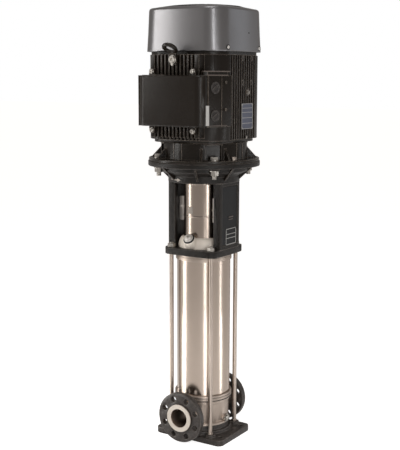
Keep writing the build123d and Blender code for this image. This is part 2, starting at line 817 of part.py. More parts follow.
# Fan: a hub with leaning straight blades, pressed on the motor shaft's rear end
with BuildPart() as fan:
    with BuildSketch(Plane.XY.offset(fan_bottom)):
        Circle(fan_hub_radius)
    extrude(amount=fan_hub_height)
    with BuildSketch(Plane.XY.offset(fan_bottom)):
        with PolarLocations(0, blade_count):
            with Locations(((rear_journal_radius + fan_radius) / 2, 0)):
                Rectangle(fan_radius - rear_journal_radius, blade_thickness, rotation=blade_lean)
    extrude(amount=fan_hub_height)
    with BuildSketch(Plane.XY.offset(fan_bottom)):
        Circle(rear_journal_radius + fit_gap)
    extrude(amount=fan_hub_height, mode=Mode.SUBTRACT)
save(fan.part, "fan")

# Motor shaft, rotor core and stator core
with BuildPart() as motor_shaft:
    with BuildSketch(Plane.XZ):
        with BuildLine():
            Polyline(
                (0, motor_shaft_bottom),
                (motor_shaft_radius, motor_shaft_bottom),
                (motor_shaft_radius, front_bearing_bottom + bearing_width),
                (shaft_body_radius, front_bearing_bottom + bearing_width),
                (shaft_body_radius, rear_bearing_bottom),
                (rear_journal_radius, rear_bearing_bottom),
                (rear_journal_radius, fan_bottom + fan_hub_height),
                (0, fan_bottom + fan_hub_height),
                close=True,
            )
        make_face()
    revolve(axis=Axis.Z)
save(motor_shaft.part, "motor_shaft")

with BuildPart() as rotor_core:
    with BuildSketch(Plane.XY.offset(core_bottom)):
        Circle(rotor_radius)
        Circle(shaft_body_radius + fit_gap, mode=Mode.SUBTRACT)
    extrude(amount=core_length)
save(rotor_core.part, "rotor_core")

with BuildPart() as stator_core:
    with BuildSketch(Plane.XY.offset(core_bottom)):
        Circle(housing_bore_radius - fit_gap)
        Circle(rotor_radius + rotor_gap, mode=Mode.SUBTRACT)
    extrude(amount=core_length)
save(stator_core.part, "stator_core")

# Motor bearings: one in each end shield
with BuildPart() as motor_bearings:
    for bottom, journal_radius in (
        (front_bearing_bottom, motor_shaft_radius),
        (rear_bearing_bottom, rear_journal_radius),
    ):
        with BuildSketch(Plane.XY.offset(bottom)):
            Circle(bearing_outer_radius)
            Circle(journal_radius + fit_gap, mode=Mode.SUBTRACT)
        extrude(amount=bearing_width)
save(motor_bearings.part, "motor_bearings")

# Coupling: two half shells that clamp the motor shaft and the pump shaft
with BuildPart() as coupling_halves:
    with BuildSketch(Plane.XY.offset(coupling_bottom)):
        Circle(coupling_radius)
        Rectangle(2 * coupling_radius, coupling_split, mode=Mode.SUBTRACT)
        Circle(pump_shaft_radius + fit_gap, mode=Mode.SUBTRACT)
    extrude(amount=coupling_length)
    with BuildSketch(Plane.XY.offset(coupling_top)):
        Circle(motor_shaft_radius + fit_gap)
    extrude(amount=pump_shaft_top - coupling_top, mode=Mode.SUBTRACT)
save(coupling_halves.part, "coupling_halves")

# Shaft seal: the stationary seat in the pump head's bore
with BuildPart() as shaft_seal:
    with BuildSketch(Plane.XY.offset(head_top - seal_height)):
        Circle(seal_bore_radius - fit_gap)
        Circle(pump_shaft_radius + fit_gap, mode=Mode.SUBTRACT)
    extrude(amount=seal_height)
save(shaft_seal.part, "shaft_seal")
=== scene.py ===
import json
from math import asin, atan2, cos, pi, radians, sin, sqrt, tan

import bmesh
import bpy
from mathutils import Matrix, Vector

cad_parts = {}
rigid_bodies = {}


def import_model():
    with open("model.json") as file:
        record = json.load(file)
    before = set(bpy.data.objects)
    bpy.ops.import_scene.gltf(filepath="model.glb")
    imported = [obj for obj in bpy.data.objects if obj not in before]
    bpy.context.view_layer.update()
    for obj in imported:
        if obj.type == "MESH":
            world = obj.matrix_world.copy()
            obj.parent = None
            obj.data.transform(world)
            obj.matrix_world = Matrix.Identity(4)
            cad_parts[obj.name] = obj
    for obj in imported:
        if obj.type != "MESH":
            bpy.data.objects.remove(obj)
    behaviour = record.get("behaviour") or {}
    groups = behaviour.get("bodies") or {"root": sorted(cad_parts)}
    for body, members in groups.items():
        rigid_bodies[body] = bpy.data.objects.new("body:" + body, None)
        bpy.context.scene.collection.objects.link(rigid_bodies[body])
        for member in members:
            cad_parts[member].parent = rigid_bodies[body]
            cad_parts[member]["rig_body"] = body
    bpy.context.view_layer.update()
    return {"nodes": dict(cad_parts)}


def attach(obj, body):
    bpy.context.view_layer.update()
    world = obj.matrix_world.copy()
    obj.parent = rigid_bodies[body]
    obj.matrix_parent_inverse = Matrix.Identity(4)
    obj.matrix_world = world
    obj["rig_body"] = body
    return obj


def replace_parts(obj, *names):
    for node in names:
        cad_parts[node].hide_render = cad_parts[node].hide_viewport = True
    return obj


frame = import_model()
scene = bpy.context.scene

# Sizes are written in millimetres and every mesh is turned into metres when its piece is made.
MM = 0.001

# Heights of the pump's joints, from the base plate up
stay_pad_top = 28.0
base_seat = 49.0
base_top = 153.0
head_bottom = 604.0
stool_bottom = 622.5
deck_top = 645.0
head_top = 679.5
nut_seat = 907.0
bolt_seat = 938.5
eye_height = 1250.0
hood_roof = 1424.5

# Radii and distances that several pieces share
port_height = 90.0
port_face = 150.0
stay_offset = 77.0
stay_radius = 7.0
flange_bolt_offset = 150.0 / sqrt(2)
head_neck_radius = 84.0
leg_face = 102.0
leg_recess = 4.0
guard_radius = 66.0
guard_height = 190.0
guard_wall = 1.5
housing_half = 145.0
pad_face = 172.0
corner_signs = ((-1, -1), (1, -1), (1, 1), (-1, 1))

# The terminal box: its cover's seam and front, and how far its sides flare out to the housing
box_low = 1045.0
box_high = 1202.0
box_seam = 173.4
box_front = 204.0
box_front_half = 114.0
box_flare = 35.0
box_flare_length = 129.0

# The fan hood: its walls' half width and corners, and its ring of air slots
hood_half = 148.4
hood_corner = 62.0
hood_shoulder = 1401.0
hood_bow = 900.0
slot_count = 20
slot_inner, slot_outer = 34.0, 104.0
roof_radii = [118.0, 111.0, 104.0, 90.0, 76.0, 62.0, 48.0, 34.0, 24.0, 12.0]


# Shader node helpers

def feed(tree, socket, value):
    """Gives a socket a number, a colour or another node's output."""
    if isinstance(value, bpy.types.NodeSocket):
        tree.links.new(value, socket)
    else:
        socket.default_value = value


def add(tree, kind, settings=None, **sockets):
    """Adds a node. A socket's name is written with _ for each space."""
    made = tree.nodes.new("ShaderNode" + kind)
    for key, value in (settings or {}).items():
        setattr(made, key, value)
    for label, value in sockets.items():
        feed(tree, made.inputs[label.replace("_", " ")], value)
    return made


def calc(tree, operation, *values, clamp=False):
    made = add(tree, "Math", {"operation": operation, "use_clamp": clamp})
    for socket, value in zip(made.inputs, values):
        feed(tree, socket, value)
    return made.outputs[0]


def blend_colours(tree, share, first, second):
    made = add(tree, "Mix", {"data_type": "RGBA"})
    for index, value in ((0, share), (6, first), (7, second)):
        feed(tree, made.inputs[index], value)
    return made.outputs[2]


def noise(tree, scale, detail, roughness=0.5):
    """Noise over a piece's own coordinates."""
    where = add(tree, "TexCoord").outputs["Object"]
    return add(tree, "TexNoise", Vector=where, Scale=scale, Detail=detail,
               Roughness=roughness).outputs["Fac"]


def new_group(name, inputs, outputs, kind="Float"):
    """A shader node group: its inputs with their values, and its outputs, all of one kind."""
    tree = bpy.data.node_groups.new(name, "ShaderNodeTree")
    for label, value in inputs.items():
        form = "NodeSocketFloat" if isinstance(value, float) else "NodeSocketColor"
        socket = tree.interface.new_socket(label, in_out="INPUT", socket_type=form)
        socket.default_value = value
    for label in outputs:
        tree.interface.new_socket(label, in_out="OUTPUT", socket_type="NodeSocket" + kind)
    entry = tree.nodes.new("NodeGroupInput")
    leave = tree.nodes.new("NodeGroupOutput")
    return tree, entry.outputs, leave.inputs


def place_group(tree, group, **sockets):
    return add(tree, "Group", {"node_tree": group}, **sockets).outputs


def new_material(name):
    material = bpy.data.materials.new(name)
    material.use_nodes = True
    material.node_tree.nodes.clear()
    return material, material.node_tree


# Camera, stage and light

toward = Vector((0.5373, -0.8434, 0.0))
right = Vector((0.8434, 0.5373, 0.0))
warm_light = (1.0, 0.985, 0.96)
cool_light = (0.97, 0.985, 1.0)
sky_light = (0.85, 0.92, 1.0)
white = (1.0, 1.0, 1.0, 1.0)
highest_aim = 0.9
mirror_share = 0.12


def standing(spot, aim):
    """Stands a camera or a lamp at a spot, looking along aim."""
    return Matrix.Translation(spot) @ aim.to_track_quat("-Z", "Y").to_matrix().to_4x4()


def put_camera():
    """The photograph's own view point, lens and tilt."""
    data = bpy.data.cameras.new("camera")
    data.sensor_fit = "VERTICAL"
    data.sensor_height = 36.0
    data.lens = 76.09
    camera = bpy.data.objects.new("camera", data)
    scene.collection.objects.link(camera)
    spot = Vector((1.67179, -2.62245, 1.20197))
    aim = Vector((-0.53440, 0.83082, -0.15545)).normalized()
    camera.matrix_world = standing(spot, aim) @ Matrix.Rotation(radians(0.155), 4, "Z")
    scene.camera = camera


def round_pump(angle, distance, height):
    """A point round the pump: angle 0 is towards the camera, 90 to its right."""
    turn = radians(angle)
    flat = toward * cos(turn) + right * sin(turn)
    return flat * distance + Vector((0.0, 0.0, height))


def softbox(name, angle, distance, height, width, tall, power, colour=white[:3]):
    """A lamp round the pump that looks in at its axis, level or down."""
    data = bpy.data.lights.new(name, "AREA")
    data.shape = "RECTANGLE"
    data.size = width
    data.size_y = tall
    data.energy = power
    data.color = colour
    lamp = bpy.data.objects.new(name, data)
    lamp.visible_camera = False
    scene.collection.objects.link(lamp)
    spot = round_pump(angle, distance, height)
    lamp.matrix_world = standing(spot, Vector((0.0, 0.0, min(height, highest_aim))) - spot)


def seen_white(tree, share):
    """1 where the camera looks, and a share of it where metal or glass looks."""
    path = add(tree, "LightPath").outputs
    mirrored = calc(tree, "MAXIMUM", path["Is Glossy Ray"], path["Is Transmission Ray"])
    return calc(tree, "MULTIPLY_ADD", mirrored, share, path["Is Camera Ray"])


def light_the_world():
    """A dim warm studio that the camera, and a share of the metal, sees as white."""
    world = bpy.data.worlds.new("studio")
    scene.world = world
    world.use_nodes = True
    tree = world.node_tree
    tree.nodes.clear()
    dim = add(tree, "Background", Color=(0.26, 0.235, 0.215, 1.0))
    pale = add(tree, "Background", Color=white)
    either = add(tree, "MixShader", Fac=seen_white(tree, mirror_share))
    feed(tree, either.inputs[1], dim.outputs[0])
    feed(tree, either.inputs[2], pale.outputs[0])
    add(tree, "OutputWorld", Surface=either.outputs[0])


def lay_floor(reach, glow, mirrored):
    """A white sheet: the camera and mirrors see it white, and it keeps the pump's shadow."""
    material, tree = new_material("floor_sheet")
    matt = add(tree, "BsdfDiffuse", Color=(0.86, 0.86, 0.86, 1.0))
    power = calc(tree, "MULTIPLY", seen_white(tree, mirrored / glow), glow)
    lit = add(tree, "Emission", Color=white, Strength=power)
    both = add(tree, "AddShader")
    feed(tree, both.inputs[0], matt.outputs[0])
    feed(tree, both.inputs[1], lit.outputs[0])
    add(tree, "OutputMaterial", Surface=both.outputs[0])
    mesh = bpy.data.meshes.new("floor")
    mesh.from_pydata([(x * reach, y * reach, 0) for x, y in corner_signs], [], [(0, 1, 2, 3)])
    mesh.materials.append(material)
    sheet = bpy.data.objects.new("floor", mesh)
    scene.collection.objects.link(sheet)


put_camera()
scene.view_settings.view_transform = "Standard"

# Each lamp's angle, distance and height, then its width, height and power
softbox("left_high_softbox", -78, 1.6, 1.50, 0.38, 0.90, 5.6, warm_light)
softbox("left_low_softbox", -87, 1.5, 0.50, 0.26, 1.00, 5.4, warm_light)
softbox("left_foot_strip", -86, 0.5, 0.16, 0.13, 0.30, 0.7, warm_light)
softbox("front_high_strip", 4, 1.9, 1.55, 0.16, 0.55, 3.2)
softbox("front_middle_strip", 21, 1.9, 0.84, 0.20, 0.90, 4.6)
softbox("front_low_strip", 6, 1.9, 0.18, 0.17, 0.36, 1.3)
softbox("front_foot_strip", 7, 0.5, 0.16, 0.05, 0.30, 0.26)
softbox("right_strip", 76, 1.3, 0.42, 0.12, 0.80, 1.2, cool_light)
softbox("right_foot_strip", 76, 0.5, 0.16, 0.045, 0.30, 0.24, cool_light)
softbox("right_fill", 108, 1.6, 1.40, 0.26, 0.90, 0.7, sky_light)
softbox("top_softbox", -20, 0.9, 3.6, 1.4, 1.4, 16)

light_the_world()
lay_floor(reach=30.0, glow=0.8, mirrored=0.3)


# Shared effects

def make_cast_skin():
    """Sand-cast iron under paint: fine grain with shallow pits and slow waves."""
    tree, given, result = new_group("cast_skin", {"Grain": 420.0, "Waves": 0.35},
                                    ("Height", "Mottle"))
    fine = noise(tree, given["Grain"], 4.0, 0.6)
    coarse = noise(tree, calc(tree, "MULTIPLY", given["Grain"], 0.16), 3.0)
    feed(tree, result["Height"], calc(tree, "MULTIPLY_ADD", coarse, given["Waves"], fine))
    feed(tree, result["Mottle"], noise(tree, 14.0, 3.0))
    return tree


def make_brushed_lines():
    """Fine drawn lines on round stainless parts, run round the axis or along it."""
    tree, given, result = new_group("brushed_lines", {"Round": 900.0, "Along": 4.0},
                                    ("Height", "Streaks"))
    where = add(tree, "TexCoord").outputs["Object"]
    parts = add(tree, "SeparateXYZ", Vector=where).outputs
    angle = calc(tree, "ARCTAN2", parts["Y"], parts["X"])
    turn = calc(tree, "MULTIPLY", angle, given["Along"])
    rise = calc(tree, "MULTIPLY", parts["Z"], given["Round"])
    flat = add(tree, "CombineXYZ", X=turn, Y=rise)
    lines = add(tree, "TexNoise", Vector=flat.outputs[0], Scale=1.0, Detail=4.0, Roughness=0.65)
    feed(tree, result["Height"], lines.outputs["Fac"])
    feed(tree, result["Streaks"], noise(tree, 9.0, 2.0))
    return tree


def make_edge_wear_and_glint():
    """Where corners are rubbed, and a painted glint on edges: brightest on sharp edges, broken up
    by grain.
    """
    tree, given, result = new_group("edge_wear_and_glint", {"Width": 0.0015, "Breakup": 60.0}, ("Edge",))
    soft = add(tree, "Bevel", {"samples": 4}, Radius=given["Width"])
    dot = add(tree, "VectorMath", {"operation": "DOT_PRODUCT"})
    feed(tree, dot.inputs[0], soft.outputs["Normal"])
    feed(tree, dot.inputs[1], add(tree, "NewGeometry").outputs["Normal"])
    bend = calc(tree, "SUBTRACT", 1.0, dot.outputs["Value"])
    rough = calc(tree, "MULTIPLY", bend, noise(tree, given["Breakup"], 5.0))
    feed(tree, result["Edge"], calc(tree, "MULTIPLY", rough, 9.0, clamp=True))
    return tree


def make_settled_dust():
    """Pale dust that lies on faces that look up."""
    tree, given, result = new_group("settled_dust", {"Amount": 0.2}, ("Dust",))
    facing = add(tree, "NewGeometry").outputs["Normal"]
    up = add(tree, "SeparateXYZ", Vector=facing).outputs["Z"]
    level = calc(tree, "POWER", calc(tree, "MAXIMUM", up, 0.0), 2.0)
    patchy = calc(tree, "MULTIPLY", level, noise(tree, 45.0, 6.0))
    feed(tree, result["Dust"], calc(tree, "MULTIPLY", patchy, given["Amount"], clamp=True))
    return tree


def make_uneven_colour():
    """A colour that drifts slowly between a darker and a lighter tone of itself."""
    tree, given, result = new_group(
        "uneven_colour", {"Colour": (0.5, 0.5, 0.5, 1.0), "Drift": 0.2, "Scale": 12.0},
        ("Colour",), "Color")
    swing = calc(tree, "SUBTRACT", noise(tree, given["Scale"], 5.0, 0.6), 0.5)
    level = calc(tree, "MULTIPLY_ADD", swing, given["Drift"], 1.0)
    hue = add(tree, "HueSaturation", Value=level, Color=given["Colour"])
    feed(tree, result["Colour"], hue.outputs["Color"])
    return tree


cast_skin = make_cast_skin()
brushed_lines = make_brushed_lines()
edge_wear_and_glint = make_edge_wear_and_glint()
settled_dust = make_settled_dust()
uneven_colour = make_uneven_colour()


# Finishes

dust_colour = (0.42, 0.40, 0.37, 1.0)


def make_finish(name, slot, colour, roughness, metallic=0.0, skin="cast", grain=420.0,
                relief=0.15, drift=0.25, wear_and_glint=(0.2, 0.19, 0.18), wear_and_glint_share=0.35, dust=0.1,
                spread=0.12, specular=0.5, around=900.0, along=4.0, wear_and_glint_width=0.0015, patch=12.0):
    """One material: drifting colour, edges worn and given a painted glint, dust, varied roughness
    and relief.
    """
    material, tree = new_material(name)
    base = place_group(tree, uneven_colour, Colour=(*colour, 1.0), Drift=drift, Scale=patch)
    edge = place_group(tree, edge_wear_and_glint, Width=wear_and_glint_width)["Edge"]
    rubbed_and_glint = calc(tree, "MULTIPLY", edge, wear_and_glint_share)
    base = blend_colours(tree, rubbed_and_glint, base["Colour"], (*wear_and_glint, 1.0))
    if dust:
        dusty = place_group(tree, settled_dust, Amount=dust)["Dust"]
        base = blend_colours(tree, dusty, base, dust_colour)
    if skin == "brushed":
        surface = place_group(tree, brushed_lines, Round=around, Along=along)
        mottle = surface["Streaks"]
    else:
        surface = place_group(tree, cast_skin, Grain=grain)
        mottle = surface["Mottle"]
    swing = calc(tree, "SUBTRACT", mottle, 0.5)
    varied = calc(tree, "MULTIPLY_ADD", swing, spread, roughness, clamp=True)
    bump = add(tree, "Bump", Height=surface["Height"], Strength=relief, Distance=0.001)
    shader = add(tree, "BsdfPrincipled", Base_Color=base, Metallic=metallic, Roughness=varied,
                 Specular_IOR_Level=specular, Normal=bump.outputs["Normal"])
    add(tree, "OutputMaterial", Surface=shader.outputs[0])
    material["slot"] = slot
    return material


# What finishes of one kind share
# The castings' strong, wide edge colour is real wear and a painted glint along their edges.
worn_casting_and_glint = {"wear_and_glint_share": 0.85, "wear_and_glint_width": 0.003, "drift": 2.6, "patch": 90.0}
motor_paint = {"grain": 600.0, "relief": 0.2, "wear_and_glint": (0.38, 0.32, 0.27), "dust": 0.03,
               "specular": 0.28}
rubbed_and_glint_paint = {"grain": 700.0, "relief": 0.2, "wear_and_glint": (0.35, 0.31, 0.28)}
flake_coat = {"grain": 900.0, "drift": 0.15, "spread": 0.08}
drawn_sheet = {"metallic": 1.0, "skin": "brushed", "relief": 0.06, "drift": 0.12,
               "wear_and_glint": (0.8, 0.78, 0.75), "dust": 0.0}
turned_steel = {"metallic": 1.0, "grain": 900.0, "relief": 0.08, "wear_and_glint": (0.8, 0.78, 0.75),
                "wear_and_glint_share": 0.4, "dust": 0.0}
satin_steel = {"grain": 900.0, "wear_and_glint": (0.9, 0.88, 0.85), "dust": 0.0}
moulding = {"grain": 700.0, "relief": 0.08}
film = {"grain": 1500.0, "dust": 0.0}

cast_black = make_finish(
    "black_cast_coat", "black_casting", (0.0105, 0.0082, 0.0066), 0.36, relief=0.8,
    wear_and_glint=(0.40, 0.35, 0.31), dust=0.02, specular=0.28, **worn_casting_and_glint)
base_black = make_finish(
    "black_base_coat", "black_casting", (0.042, 0.035, 0.031), 0.40, relief=1.0, grain=210.0,
    wear_and_glint=(0.36, 0.32, 0.28), dust=0.04, specular=0.40, **worn_casting_and_glint)
# The motor's light edge colour is real wear and a painted glint along its ribs and edges.
motor_black = make_finish(
    "black_motor_coat", "black_paint", (0.0125, 0.0090, 0.0060), 0.27, wear_and_glint_share=0.9,
    wear_and_glint_width=0.003, **motor_paint)
box_black = make_finish(
    "black_box_coat", "black_paint", (0.0120, 0.0082, 0.0052), 0.24, wear_and_glint_share=0.25, **motor_paint)
panel_black = make_finish(
    "blue_black_panel", "black_paint", (0.0062, 0.0068, 0.0085), 0.42, grain=900.0, relief=0.08,
    wear_and_glint=(0.12, 0.125, 0.14), wear_and_glint_share=0.4, dust=0.02, specular=0.3)
cover_grey = make_finish(
    "cover_flake_grey", "grey_metal", (0.242, 0.239, 0.246), 0.33, metallic=1.0, relief=0.04,
    wear_and_glint=(0.4, 0.4, 0.4), wear_and_glint_share=0.2, dust=0.03, **flake_coat)
# A darker copy of the hood's grey paint for its roof: painted shade for the dark it reflects.
roof_grey_painted_shade = make_finish(
    "cover_roof_painted_shade", "grey_metal", (0.075, 0.074, 0.074), 0.5, metallic=0.6, relief=0.06,
    wear_and_glint=(0.3, 0.3, 0.3), wear_and_glint_share=0.3, dust=0.08, **flake_coat)
cast_stainless = make_finish(
    "stainless_cast_face", "cast_stainless", (0.47, 0.395, 0.34), 0.38, metallic=1.0, grain=520.0,
    relief=0.3, wear_and_glint=(0.75, 0.72, 0.68), wear_and_glint_share=0.5, dust=0.03)
# The head's stainless made near white and almost matt: painted light for its brightly lit shoulder
# in the stool's shade.
head_stainless_painted_light = make_finish(
    "stainless_blasted_head_painted_light", "cast_stainless", (0.98, 0.90, 0.80), 0.42, metallic=0.10,
    grain=520.0, relief=0.25, wear_and_glint=(0.8, 0.76, 0.72), wear_and_glint_share=0.4, dust=0.02)
port_stainless = make_finish(
    "stainless_port_face", "cast_stainless", (0.62, 0.56, 0.49), 0.42, metallic=0.75, grain=300.0,
    relief=0.25, drift=0.5, wear_and_glint=(0.85, 0.82, 0.78), wear_and_glint_share=0.5, dust=0.0)
sleeve_stainless = make_finish(
    "stainless_drawn_tube", "sleeve_stainless", (0.53, 0.445, 0.38), 0.22, wear_and_glint_share=0.3,
    spread=0.1, **drawn_sheet)
guard_stainless = make_finish(
    "stainless_guard_sheet", "sleeve_stainless", (0.37, 0.31, 0.265), 0.22, wear_and_glint_share=0.5,
    **drawn_sheet)
stay_steel = make_finish(
    "steel_stay_rod", "bright_steel", (0.44, 0.375, 0.325), 0.30, **turned_steel)
bright_steel = make_finish(
    "steel_turned", "bright_steel", (0.45, 0.425, 0.39), 0.33, **turned_steel)
core_steel = make_finish(
    "steel_sheet_pack", "core_steel", (0.30, 0.29, 0.28), 0.45, metallic=0.9, skin="brushed",
    around=2000.0, along=0.5, relief=0.3, dust=0.0)
# Black rubber for the seals, and painted shade for the base's groove lines, the housing lugs' bores
# and the hood's screw rings and discs.
seal_black_and_painted_shade = make_finish(
    "black_rubber_and_painted_shade", "seal_carbon", (0.007, 0.007, 0.007), 0.55, grain=800.0, relief=0.1,
    dust=0.03, specular=0.25)
board_brown = make_finish(
    "brown_moulding", "board_plastic", (0.10, 0.05, 0.03), 0.5, dust=0.0, **moulding)
fan_black = make_finish(
    "black_moulding", "fan_plastic", (0.02, 0.02, 0.022), 0.5, dust=0.1, **moulding)
plug_steel = make_finish(
    "steel_plug_bright", "bright_steel", (0.80, 0.77, 0.73), 0.42, metallic=0.6, relief=0.08,
    wear_and_glint_share=0.4, **satin_steel)
# Satin stainless made near white for the guards' tabs: a painted highlight, as the tabs sit in the
# legs' shade.
tab_steel_painted_light = make_finish(
    "steel_tab_satin_painted_light", "sleeve_stainless", (0.88, 0.83, 0.78), 0.36, metallic=0.9, relief=0.1,
    wear_and_glint_share=0.8, **satin_steel)
# A light coat for thin lips and ledges: a painted highlight where their edges catch the light, with
# wear.
lip_coat_painted_highlight = make_finish(
    "worn_lip_coat_painted_highlight", "black_paint", (0.15, 0.123, 0.108), 0.40, wear_and_glint_share=0.6, dust=0.05,
    specular=0.4, **rubbed_and_glint_paint)
# A slightly lighter black with strong edge colour for the box's blank plugs: real wear and a
# painted glint.
rim_coat_painted_glint = make_finish(
    "worn_rim_coat_painted_glint", "black_paint", (0.022, 0.018, 0.016), 0.24, wear_and_glint_share=0.8, dust=0.0,
    specular=0.6, **rubbed_and_glint_paint)
label_white = make_finish(
    "label_film", "grey_metal", (0.66, 0.66, 0.64), 0.45, relief=0.03, drift=0.1, **film)
# A grey label film for the guards' stickers, and a painted glint on the barrel's cast arrow.
label_grey_and_painted_glint = make_finish(
    "label_film_grey_and_painted_glint", "grey_metal", (0.27, 0.24, 0.21), 0.4, metallic=0.3, relief=0.06,
    drift=0.6, **film)
plate_silver = make_finish(
    "rating_plate_metal", "bright_steel", (0.13, 0.14, 0.185), 0.36, metallic=0.8, grain=700.0,
    relief=0.12, drift=0.7, dust=0.0)

for material, nodes in (
    (base_black, "base_plate inlet_flange outlet_flange"),
    (cast_black, "motor_stool"),
    (motor_black, "motor_flange_shield motor_housing rear_end_shield terminal_box"
                  " terminal_box_cover lifting_eyes"),
    (cover_grey, "fan_cover"),
    (cast_stainless, "pump_base"),
    (head_stainless_painted_light, "pump_head"),
    (sleeve_stainless, "outer_sleeve chamber_stack coupling_guard_front coupling_guard_rear"
                       " impellers"),
    (stay_steel, "stay_bolts"),
    (bright_steel, "pump_shaft motor_shaft stay_bolt_nuts drain_plug priming_plug vent_screw"
                   " lifting_eye_bolts motor_flange_bolts motor_flange_nuts motor_bearings"),
    (core_steel, "coupling_halves rotor_core stator_core"),
    (seal_black_and_painted_shade, "shaft_seal"),
    (board_brown, "terminal_board"),
    (fan_black, "fan"),
):
    for node in nodes.split():
        mesh = frame["nodes"][node].data
        mesh.materials.clear()
        mesh.materials.append(material)


# Mesh helpers, all in millimetres

def polar(radius, angle, z):
    """A point from its radius and its angle round Z, in radians."""
    return radius * cos(angle), radius * sin(angle), z


def lathe(profile, steps, start=0.0, sweep=360.0):
    """Turns a closed outline of (radius, height) points round Z."""
    made = bmesh.new()
    full = sweep > 359.9
    count = steps if full else steps + 1
    columns = []
    for step in range(count):
        angle = radians(start + sweep * step / steps)
        columns.append([made.verts.new(polar(r, angle, z)) for r, z in profile])
    for step in range(steps):
        here, after = columns[step], columns[(step + 1) % count]
        for low in range(len(profile)):
            high = (low + 1) % len(profile)
            made.faces.new((here[low], after[low], after[high], here[high]))
    if not full:
        made.faces.new(columns[0])
        made.faces.new(columns[-1][::-1])
    return made


def prism(outline, low, high):
    made = bmesh.new()
    bottom = [made.verts.new((x, y, low)) for x, y in outline]
    top = [made.verts.new((x, y, high)) for x, y in outline]
    made.faces.new(bottom[::-1])
    made.faces.new(top)
    for here in range(len(outline)):
        after = (here + 1) % len(outline)
        made.faces.new((bottom[here], bottom[after], top[after], top[here]))
    return made


def loft(rings):
    """A closed skin through rings of points, with a face at each end."""
    made = bmesh.new()
    rows = [[made.verts.new(point) for point in ring] for ring in rings]
    for low, high in zip(rows, rows[1:]):
        for here in range(len(low)):
            after = (here + 1) % len(low)
            made.faces.new((low[here], low[after], high[after], high[here]))
    made.faces.new(rows[0][::-1])
    made.faces.new(rows[-1])
    return made


def rounded(corners, steps=8):
    """An outline whose corners (x, y, radius) are turned into arcs."""
    outline = []
    count = len(corners)
    for here in range(count):
        x, y, radius = corners[here]
        corner = Vector((x, y))
        if radius <= 0:
            outline.append((x, y))
            continue
        before = (Vector(corners[here - 1][:2]) - corner).normalized()
        after = (Vector(corners[(here + 1) % count][:2]) - corner).normalized()
        half = before.angle(after) / 2
        centre = corner + (before + after).normalized() * (radius / sin(half))
        first = corner + before * (radius / tan(half)) - centre
        last = corner + after * (radius / tan(half)) - centre
        swing = first.angle_signed(last)
        for step in range(steps + 1):
            point = centre + Matrix.Rotation(-swing * step / steps, 2) @ first
            outline.append((point.x, point.y))
    return outline


def slab(width, depth, radius, low, high, x=0.0, y=0.0):
    """A flat plate with rounded corners."""
    w, d = width / 2, depth / 2
    return prism(rounded([(x + a * w, y + b * d, radius) for a, b in corner_signs]), low, high)


def hex_reach(radius, angle):
    """How far a hexagon reaches at an angle, when its flats are a radius from its centre."""
    from_flat = (angle + pi / 6) % (pi / 3) - pi / 6
    return radius / cos(from_flat)


def hex_head(flats, height, steps=48):
    """A hexagon whose top corners are turned off, as on a nut or a bolt head."""
    turned = flats / 2 * 0.95
    columns = []
    for step in range(steps):
        angle = 2 * pi * step / steps
        reach = hex_reach(flats / 2, angle)
        drop = (reach - turned) * tan(radians(30))
        column = ((reach, 0.0), (reach, height - drop), (turned, height))
        columns.append([polar(r, angle, z) for r, z in column])
    return loft(zip(*columns))


def socket_head(radius, height, flats, depth, steps=48):
    """A round screw head with a hexagon socket."""
    rows = []
    for r, z, socket in ((radius, 0, False), (radius, height - 1, False),
                         (radius - 1, height, False), (flats / 2, height, True),
                         (flats / 2, height - depth, True)):
        ring = []
        for step in range(steps):
            angle = 2 * pi * step / steps
            ring.append(polar(hex_reach(r, angle) if socket else r, angle, z))
        rows.append(ring)
    return loft(rows)


def threaded(radius, length):
    """A stud end with thread grooves and a chamfered tip."""
    pitch, depth = 2.0, 0.6
    profile = [(0.0, 0.0), (radius, 0.0)]
    height = pitch / 2
    while height < length - pitch:
        profile += [(radius - depth, height), (radius, height + pitch / 2)]
        height += pitch
    profile += [(radius, length - pitch / 2), (radius - 2 * depth, length), (0.0, length)]
    return lathe(profile, 32)


def tube_ring(major, minor, steps=48, around=14, flatten=1.0):
    """A ring of round bar, or of flattened bar."""
    turns = [2 * pi * step / around for step in range(around)]
    return lathe([(major + minor * cos(a), minor * flatten * sin(a)) for a in turns], steps)


def disc(inner, outer, thick, steps, chamfer=0.0):
    """A washer, or a plain disc where inner is 0."""
    rim = [(outer, thick - chamfer), (outer - chamfer, thick)] if chamfer else [(outer, thick)]
    return lathe([(inner, 0), (outer, 0), *rim, (inner, thick)], steps)


def placed(origin, facing, spin=0.0):
    """A frame at origin whose Z looks along facing, and whose Y is as near up as it can be."""
    z = Vector(facing).normalized()
    y = (Vector((0, 0, 1)) - z * z.z).normalized()
    turn = Matrix((y.cross(z), y, z)).transposed().to_4x4()
    return Matrix.Translation(origin) @ turn @ Matrix.Rotation(radians(spin), 4, "Z")


def lifted(place, height):
    """The same frame, moved out along its own Z."""
    return place @ Matrix.Translation((0, 0, height))


def round_spot(angle, radius, height):
    """A point at an angle from +X round the pump axis."""
    return Vector(polar(radius, radians(angle), height))


def moved(part, place):
    part.transform(place)
    return part


def gather(parts):
    whole = bmesh.new()
    for part in parts:
        mesh = bpy.data.meshes.new("part")
        part.to_mesh(mesh)
        part.free()
        whole.from_mesh(mesh)
        bpy.data.meshes.remove(mesh)
    return whole


def on_washer(head, seat, radius, thick, steps=40, chamfer=0.4):
    """A washer on its seat, and a head or a nut on the washer."""
    return [moved(disc(0, radius, thick, steps, chamfer), seat), moved(head, lifted(seat, thick))]


def over_corners(offset, height, turn, tip=0.0):
    """A frame at each of the pump's corners, each turned a little more than the one before."""
    return [Matrix.Translation((x * offset, y * offset, height)) @ Matrix.Rotation(tip, 4, "X")
            @ Matrix.Rotation(turn * number, 4, "Z") for number, (x, y) in enumerate(corner_signs)]


